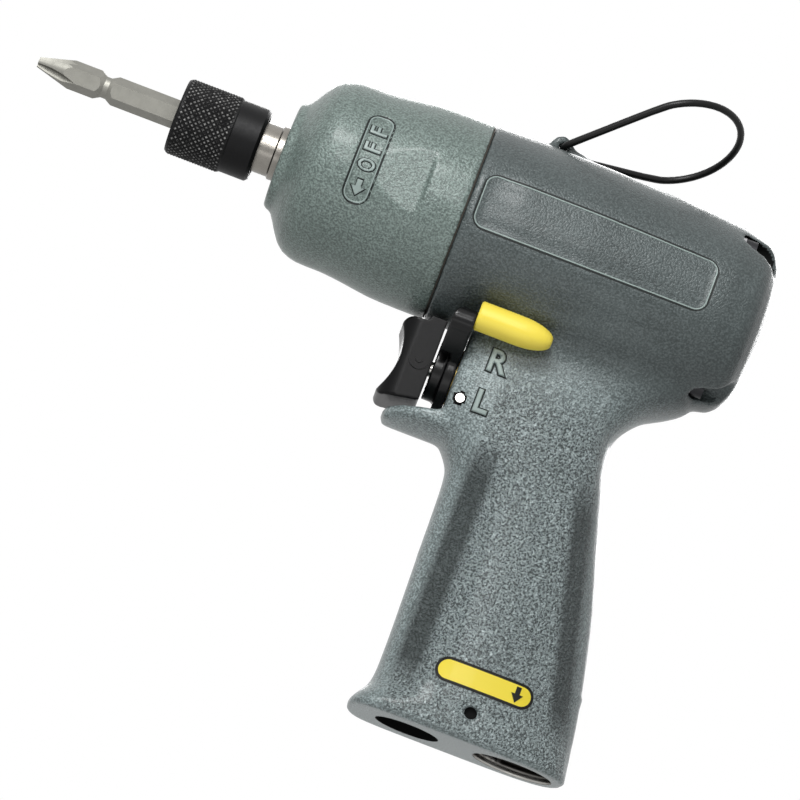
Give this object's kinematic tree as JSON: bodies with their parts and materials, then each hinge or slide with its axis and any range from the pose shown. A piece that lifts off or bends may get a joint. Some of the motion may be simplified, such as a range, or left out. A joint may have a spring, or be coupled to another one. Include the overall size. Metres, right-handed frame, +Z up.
{
  "type": "pneumatic screwdriver",
  "caption": "Pistol-grip air screwdriver: impact mechanism in a front case, vane motor, quick-change bit chuck, trigger, reversing knob and hanging bail.",
  "frame": {"origin": "on the spindle axis at the mouth of the bit socket", "axes": "-X along the bit toward the work, +X toward the rear of the motor, +Z up so that the grip hangs toward -Z, -Y toward the side with the reversing knob"},
  "size_m": [0.1895, 0.0514, 0.1711],
  "materials": {
    "case_paint": "smooth grey-green metallic paint on die-cast aluminium",
    "housing_paint": "grey-green hammertone paint on die-cast aluminium",
    "bit_steel": "sandblasted tool steel",
    "black_oxide": "knurled, black oxide",
    "anvil_steel": "ground and polished",
    "impact_steel": "hardened and tumbled",
    "bearing_steel": "ground",
    "screw_steel": "black socket screw",
    "spring_steel": "drawn wire",
    "bronze": "sintered bronze",
    "brass": "machined",
    "motor_steel": "ground and honed",
    "vane": "fabric-reinforced phenolic",
    "rubber": "black nitrile",
    "gasket": "black fibre gasket",
    "black_plastic": "moulded black plastic",
    "yellow_plastic": "moulded yellow plastic",
    "bail_wire": "black coated spring wire",
    "muffler": "sintered muffler"
  },
  "bodies": {
    "housing": {"hammer_case": "case_paint", "anvil_bushing": "bronze", "nose_seal": "rubber", "case_gasket": "gasket", "motor_housing": "housing_paint", "case_screws": "screw_steel", "screw_washers": "spring_steel", "front_end_plate": "motor_steel", "front_bearing_outer": "bearing_steel", "front_bearing_balls": "bearing_steel", "motor_cylinder": "motor_steel", "cylinder_pin": "bearing_steel", "rear_end_plate": "motor_steel", "rear_bearing_outer": "bearing_steel", "rear_bearing_balls": "bearing_steel", "stem_guide": "brass", "throttle_spring": "spring_steel", "lever_ball": "bearing_steel", "lever_spring": "spring_steel", "valve_cross_pin": "bearing_steel", "inlet_bushing": "anvil_steel", "inlet_screen": "brass", "inlet_o_ring": "rubber", "exhaust_muffler": "muffler", "foot_pin": "black_oxide"},
    "anvil": {"anvil": "anvil_steel", "spring_washer": "impact_steel", "sleeve_snap_ring": "spring_steel", "sleeve_stop_ring": "spring_steel", "sleeve_spring": "spring_steel", "detent_ball": "bearing_steel"},
    "sleeve": {"chuck_sleeve": "black_oxide"},
    "bit": {"screwdriver_bit": "bit_steel"},
    "rotor": {"rotor": "motor_steel", "rotor_vanes": "vane", "hammer_cage": "impact_steel", "hammer_pins": "bearing_steel", "front_bearing_inner": "bearing_steel", "rear_bearing_inner": "bearing_steel"},
    "front_hammer": {"front_hammer": "impact_steel"},
    "rear_hammer": {"rear_hammer": "impact_steel"},
    "bail": {"hanger_bail": "bail_wire"},
    "trigger": {"trigger": "black_plastic", "trigger_stem": "bearing_steel", "throttle_poppet": "brass", "poppet_seal": "rubber"},
    "reverser": {"reverse_lever": "black_plastic", "lever_knob": "yellow_plastic", "reverse_valve": "brass", "valve_o_ring": "rubber"}
  },
  "joints": [
    {"name": "rotor_spin", "type": "hinge", "parent": "housing", "child": "rotor", "pos_m": [0.1, 0, 0], "axis": [1, 0, 0], "continuous": true},
    {"name": "anvil_spin", "type": "hinge", "parent": "housing", "child": "anvil", "pos_m": [0.03, 0, 0], "axis": [1, 0, 0], "continuous": true},
    {"name": "front_hammer_rock", "type": "hinge", "parent": "rotor", "child": "front_hammer", "pos_m": [0.0472, 0.0138, 0], "axis": [1, 0, 0], "range_deg": [-2.5, 2.5]},
    {"name": "rear_hammer_rock", "type": "hinge", "parent": "rotor", "child": "rear_hammer", "pos_m": [0.056, -0.0138, 0], "axis": [1, 0, 0], "range_deg": [-2.5, 2.5]},
    {"name": "sleeve_pull", "type": "slide", "parent": "anvil", "child": "sleeve", "axis": [-1, 0, 0], "range_m": [0, 0.0032], "stiffness_N_per_m": 500, "springref_m": -0.004, "deforming": ["sleeve_spring"]},
    {"name": "bit_pull", "type": "slide", "parent": "anvil", "child": "bit", "axis": [-1, 0, 0], "range_m": [0, 0.029]},
    {"name": "trigger_pull", "type": "slide", "parent": "housing", "child": "trigger", "axis": [1, 0, 0], "range_m": [0, 0.003], "stiffness_N_per_m": 600, "springref_m": -0.004, "deforming": ["throttle_spring"]},
    {"name": "reverse_turn", "type": "hinge", "parent": "housing", "child": "reverser", "pos_m": [0.085, 0, -0.037], "axis": [1, 0, 0], "range_deg": [0, 54]},
    {"name": "bail_swing", "type": "hinge", "parent": "housing", "child": "bail", "pos_m": [0.0906, 0, 0.0265], "axis": [0, 1, 0], "range_deg": [-140, 12]}
  ],
  "couplings": [
    {"joint": "anvil_spin", "follows": "rotor_spin", "ratio": 1}
  ]
}
